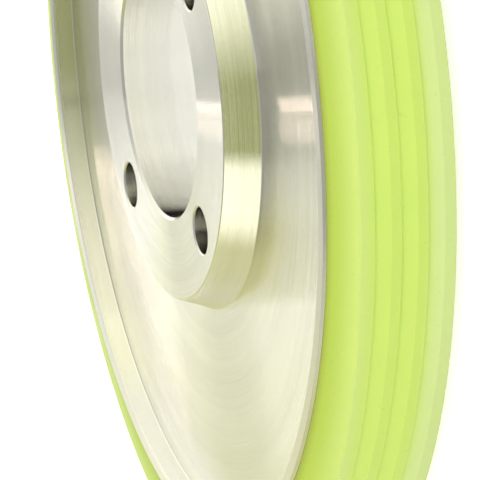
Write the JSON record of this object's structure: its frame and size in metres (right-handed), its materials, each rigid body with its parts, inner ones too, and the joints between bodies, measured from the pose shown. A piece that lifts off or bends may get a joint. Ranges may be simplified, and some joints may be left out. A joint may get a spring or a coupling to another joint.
{
  "type": "polyurethane coated wheel",
  "caption": "Flat aluminium wheel with a raised tapered boss, a bore, bolt holes and a cast-on green polyurethane tyre with shallow grooves round its tread.",
  "frame": {"origin": "centre of the flat back face, on the axle line", "axes": "+Z along the axle line, up through the raised boss; the wheel lies on its flat back; the bolt holes lie on the X and Y axes"},
  "size_m": [0.2, 0.2, 0.025],
  "materials": {
    "turned_aluminium": "turned, satin",
    "green_polyurethane": "slightly clear, smooth"
  },
  "bodies": {
    "root": {"hub": "turned_aluminium", "tyre": "green_polyurethane"}
  },
  "joints": []
}
